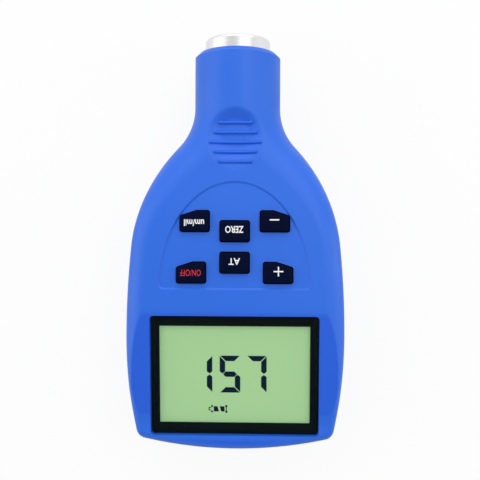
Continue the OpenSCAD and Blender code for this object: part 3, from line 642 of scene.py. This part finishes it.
def display():
    """Digits and a battery sign on the display, in the facet's own frame."""
    digits_y, digits_h, bar_t, bar_gap, bars_z, lcd_z = -24.55, 11.05, 1.6, 0.17, -2.66, -2.7
    shapes = []
    for lit, x, w in (("bc", -12.4, 5.75), ("afgcd", -4.45, 6.05), ("abc", 3.55, 5.8)):
        bars = segments(lit, w, digits_h, bar_t, bar_gap)
        shapes += [[(x + px, digits_y + py) for px, py in bar] for bar in bars]
    sign_y, half = -29.53, 0.77
    low, high = sign_y - half, sign_y + half
    shapes += [
        [(-6.23, low), (-4.69, low), (-5.16, high), (-6.23, high)],
        [(-4.05, low), (-3.05, low), (-3.05, high), (-4.46, high)],
        rectangle(-7.75, sign_y - 0.5, -7.5, sign_y + 0.5),
        rectangle(-2.66, sign_y - 0.6, -2.4, sign_y + 0.6),
    ]
    for side in (-1, 1):
        for box in ((-7.5, 0.27, -6.95, 0.5), (-7.0, 0.55, -6.5, 1.12), (-2.85, 0.6, -2.2, 1.15)):
            shapes.append([(x, sign_y + side * y) for x, y in rectangle(*box)][::side])
    return piece(plates("lcd_digits", shapes, lcd_z, bars_z, ON_FACET), "body", "lcd_green", SEGMENT)


# The probe and the CAD nodes
def sleeve():
    """The plated sleeve of the probe: a cup with a hole in its floor, a clip groove and a rounded edge."""
    edge_r, inner_r, hole_r, groove_r, floor_t, clip_gap = 0.9, 8.5, 5, 9.3, 1.0, 0.05
    groove_low, groove_high = CLIP_Y[0] - clip_gap, CLIP_Y[1] + clip_gap
    profile = [
        (hole_r, SLEEVE_Y), (SLEEVE_R, SLEEVE_Y), (SLEEVE_R, groove_low), (groove_r, groove_low),
        (groove_r, groove_high), (SLEEVE_R, groove_high),
        *arc_points(SLEEVE_R - edge_r, SLEEVE_END - edge_r, edge_r, 0, QUARTER, 9),
        (inner_r, SLEEVE_END), (inner_r, SLEEVE_Y + floor_t), (hole_r, SLEEVE_Y + floor_t),
    ]
    return piece(shade(turned("sleeve", profile)), "probe", "plated_metal", CHROME, "probe_sleeve")


def from_cad(name, node):
    """A copy of a CAD node whose faces share their corners, so that its round stretches shade smoothly."""
    near = 0.002 * MM
    joined = bmesh.new()
    joined.from_mesh(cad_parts[node].data)
    joined.transform(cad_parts[node].matrix_world)
    bmesh.ops.remove_doubles(joined, verts=joined.verts, dist=near)
    joined.verts.index_update()
    points, faces = [v.co / MM for v in joined.verts], [[v.index for v in f.verts] for f in joined.faces]
    joined.free()
    return shade(new_object(name, points, faces))


def spring():
    """The probe's spring, which runs from the case's bulkhead to the probe: a steel copy of its CAD node."""
    coil = from_cad("spring", "probe_spring")
    coil.data.materials.append(STEEL)
    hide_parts("probe_spring")
    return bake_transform(coil)


def dress(material, slot, *nodes):
    """Gives CAD nodes that are shown as they are a finish and smooth shading."""
    for name in nodes:
        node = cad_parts[name]
        node.data.materials.clear()
        node.data.materials.append(material)
        shade(node)


front_shell()
for key_name in KEYS:
    key_piece(key_name)
legend("key_unit", "um/mil", (5.8, 1.95), WHITE, bold=0.02, up=-0.5)
legend("key_zero", "ZERO", (5.3, 2.0), WHITE, bold=0.02, up=0.5)
print_on("key_minus", [rectangle(-1.5, 0.2, 1.25, 0.58)], WHITE)
legend("key_power", "ON/OFF", (6.0, 1.85), RED)
legend("key_test", "AT", (3.3, 1.95), WHITE, bold=0.015, up=0.4)
print_on("key_plus", [rectangle(-1.3, 0.3, 1.5, 0.66), rectangle(-0.09, 0.66, 0.27, 1.86),
                      rectangle(-0.09, -0.9, 0.27, 0.3)], WHITE)
display()

piece(from_cad("case_rear", "rear_shell"), "body", "case_plastic", BLUE, "rear_shell")
piece(from_cad("door", "battery_door"), "battery_door", "case_plastic", BLUE, "battery_door")
dress(CLEAR, "window_clear", "display_window")
dress(BLACK, "mask_black", "window_mask")
dress(GREEN, "lcd_green", "lcd_panel")
dress(PLASTIC, "frame_black", "lcd_frame", "main_chip", "buzzer", "probe_guide", "probe_insert")
dress(GUIDE, "light_guide", "backlight")
dress(STRIP, "strip_rubber", "lcd_connector")
dress(BOARD, "board_green", "main_board")
dress(IVORY, "socket_ivory", "probe_socket")
dress(RUBBER, "mat_rubber", "keypad_mat")
sleeve()
dress(IRON, "core_iron", "probe_core")
dress(COPPER, "coil_wire", "probe_coil")
dress(STEEL, "tip_steel", "probe_tip", "probe_clip")
spring()
dress(STEEL, "spring_steel", "battery_springs", "battery_contacts")
dress(WRAP, "cell_wrap", "battery_left", "battery_right")
dress(STEEL, "screw_steel", "case_screws", "board_screws")


# Floor, light and camera
def floor_finish():
    """A pale finish that reads as white where it is seen, and keeps the object's shadow."""
    white_share, glow_share = 0.9, 0.9
    material = finish("floor_pale", (180, 180, 180), 0.9)
    nodes, links = material.node_tree.nodes, material.node_tree.links
    path = nodes.new("ShaderNodeLightPath")
    seen = path.outputs["Is Camera Ray"]
    for ray in ("Is Glossy Ray", "Is Transmission Ray"):
        either = nodes.new("ShaderNodeMath")
        either.operation = "MAXIMUM"
        links.new(seen, either.inputs[0])
        links.new(path.outputs[ray], either.inputs[1])
        seen = either.outputs[0]
    white, glow = nodes.new("ShaderNodeBsdfDiffuse"), nodes.new("ShaderNodeEmission")
    white.inputs["Color"].default_value = (white_share, white_share, white_share, 1)
    backdrop, surface = nodes.new("ShaderNodeMixShader"), nodes.new("ShaderNodeMixShader")
    backdrop.inputs[0].default_value = glow_share
    links.new(white.outputs[0], backdrop.inputs[1])
    links.new(glow.outputs[0], backdrop.inputs[2])
    links.new(seen, surface.inputs[0])
    links.new(nodes["Principled BSDF"].outputs[0], surface.inputs[1])
    links.new(backdrop.outputs[0], surface.inputs[2])
    links.new(surface.outputs[0], nodes["Material Output"].inputs["Surface"])
    return material


def floor():
    """A floor that sweeps up into a round backdrop, with sizes in mm."""
    flat, sweep, top, steps = 2200, 800, 1200, 96
    profile = arc_points(flat, sweep, sweep, -QUARTER, QUARTER, 12) + [(flat + sweep, top)]
    turns = [2 * math.pi * j / steps for j in range(steps)]
    points = [(r * math.cos(a), r * math.sin(a), z) for r, z in profile for a in turns]
    ground = shade(new_object("floor", points, [tuple(range(steps))] + bands(len(profile), steps)))
    ground.data.materials.append(floor_finish())
    return ground


def soft_light(name, place, aim, size, power):
    """A rectangular soft light, with places in mm and power in watts."""
    data = bpy.data.lights.new(name, "AREA")
    data.shape, data.size, data.size_y, data.energy = "RECTANGLE", size[0] * MM, size[1] * MM, power
    lamp = bpy.data.objects.new(name, data)
    lamp.location = Vector(place) * MM
    lamp.rotation_euler = (Vector(aim) - Vector(place)).to_track_quat("-Z", "Y").to_euler()
    scene.collection.objects.link(lamp)
    return lamp


def studio_world():
    """White light from all round, weaker overhead and stronger from the probe's side."""
    low_z, high_z, low_strength, high_strength, probe_gain = 0.35, 0.87, 0.62, 0.5, 0.6
    world = scene.world or bpy.data.worlds.new("studio")
    world.use_nodes = True
    nodes, links = world.node_tree.nodes, world.node_tree.links
    background = nodes["Background"]
    background.inputs["Color"].default_value = (1, 1, 1, 1)
    direction = nodes.new("ShaderNodeTexCoord")
    parts = nodes.new("ShaderNodeSeparateXYZ")
    fade = map_range(nodes, low_z, high_z, low_strength, high_strength)
    lean, level = nodes.new("ShaderNodeMath"), nodes.new("ShaderNodeMath")
    lean.operation, level.operation = "MULTIPLY_ADD", "MULTIPLY"
    lean.inputs[1].default_value, lean.inputs[2].default_value = probe_gain, 1.0
    links.new(direction.outputs["Generated"], parts.inputs[0])
    links.new(parts.outputs["Z"], fade.inputs["Value"])
    links.new(parts.outputs["Y"], lean.inputs[0])
    links.new(fade.outputs["Result"], level.inputs[0])
    links.new(lean.outputs[0], level.inputs[1])
    links.new(level.outputs[0], background.inputs["Strength"])
    return world


def photo_camera():
    """The camera of the photograph, which looks down on the gauge from close by."""
    camera = bpy.data.objects.new("camera", bpy.data.cameras.new("camera"))
    camera.location = Vector((12.34, 0.63, 231.9)) * MM
    camera.rotation_euler = (-0.001, 0.026, 0.0045)
    camera.data.lens, camera.data.sensor_width, camera.data.shift_x = 53.4, 36, -0.0393
    camera.data.clip_start, camera.data.clip_end = 0.005, 20
    scene.collection.objects.link(camera)
    return camera


scene.view_settings.view_transform = "Standard"
scene.world = studio_world()
floor()
soft_light("overhead_light", (290, 110, 600), (290, 110, 0), (420, 380), 0.75)
soft_light("key_light", (30, 430, 300), (0, 0, 10), (900, 420), 1.3)
soft_light("left_light", (-430, 40, 215), (0, 40, 10), (360, 400), 0.7)
soft_light("right_light", (470, 20, 120), (0, 0, 10), (120, 400), 0.5)
soft_light("front_light", (0, -430, 150), (0, -40, 20), (500, 60), 0.15)
scene.camera = photo_camera()
